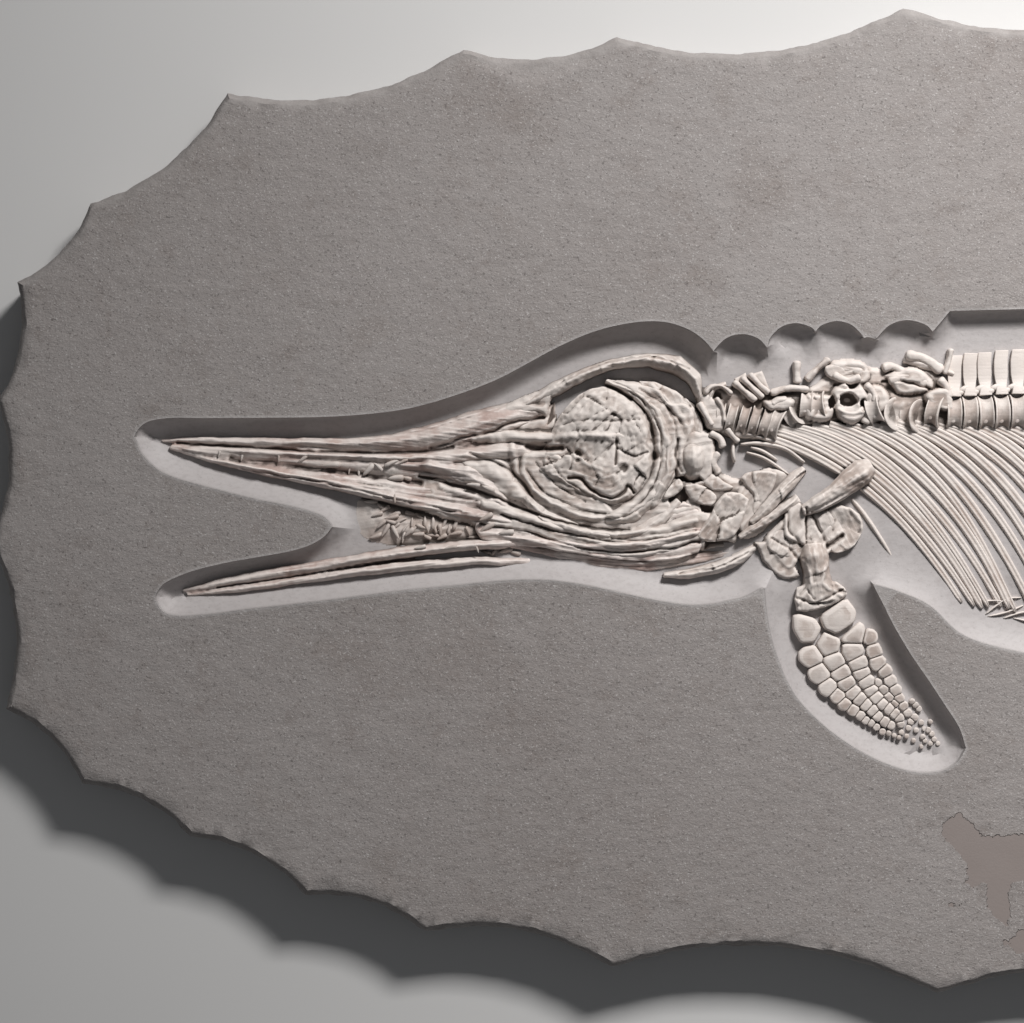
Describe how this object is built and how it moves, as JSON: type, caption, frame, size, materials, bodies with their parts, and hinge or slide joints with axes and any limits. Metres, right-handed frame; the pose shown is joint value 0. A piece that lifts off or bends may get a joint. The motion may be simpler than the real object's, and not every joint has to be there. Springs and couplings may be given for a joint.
{
  "type": "fossil ichthyosaur skeleton slab",
  "caption": "Shale slab with a scalloped rim and a fossil ichthyosaur skeleton standing in a cleared hollow, for display lying flat.",
  "frame": {"origin": "middle of the slab's flat back", "axes": "+X from the snout to the tail, +Y towards the animal's back, +Z out of the slab's face"},
  "size_m": [2.1838, 0.9154, 0.0529],
  "materials": {
    "shale": "matt split stone, finely brushed where it is cleared",
    "bone": "satin mineralised bone, ivory grey",
    "jaw_bone": "satin mineralised bone, red-brown along the jaws"
  },
  "bodies": {
    "root": {"slab": "shale", "skull_roof": "bone", "postorbital": "bone", "occipital_condyle": "bone", "jugal": "bone", "eye_plates": "bone", "snout": "jaw_bone", "hind_jaw": "jaw_bone", "lower_jaw": "jaw_bone", "angular": "bone", "quadrate": "bone", "stapes": "bone", "hyoid": "bone", "opisthotic": "bone", "scapula": "bone", "clavicle": "bone", "interclavicle": "bone", "throat_plate": "bone", "humerus": "bone", "coracoid": "bone", "far_coracoid": "bone", "radius": "bone", "ulna": "bone", "fore_fin": "bone", "pelvis": "bone", "femur": "bone", "hind_fin": "bone", "atlas": "bone", "neural_arch": "bone", "neck_spine_1": "bone", "neck_spine_2": "bone", "loose_spine": "bone", "neck_vertebrae": "bone", "shoulder_vertebrae": "bone", "back_vertebrae_1": "bone", "back_vertebrae_2": "bone", "back_vertebrae_3": "bone", "loin_vertebrae": "bone", "tail_vertebrae_1": "bone", "tail_vertebrae_2": "bone", "tail_vertebrae_3": "bone", "rib_01": "bone", "rib_03": "bone", "rib_05": "bone", "rib_07": "bone", "rib_09": "bone", "rib_11": "bone", "rib_13": "bone", "rib_15": "bone", "rib_17": "bone", "rib_19": "bone", "rib_21": "bone", "rib_23": "bone", "rib_25": "bone", "rib_27": "bone", "rib_29": "bone", "rib_31": "bone", "rib_33": "bone", "rib_35": "bone", "rib_37": "bone"}
  },
  "joints": []
}
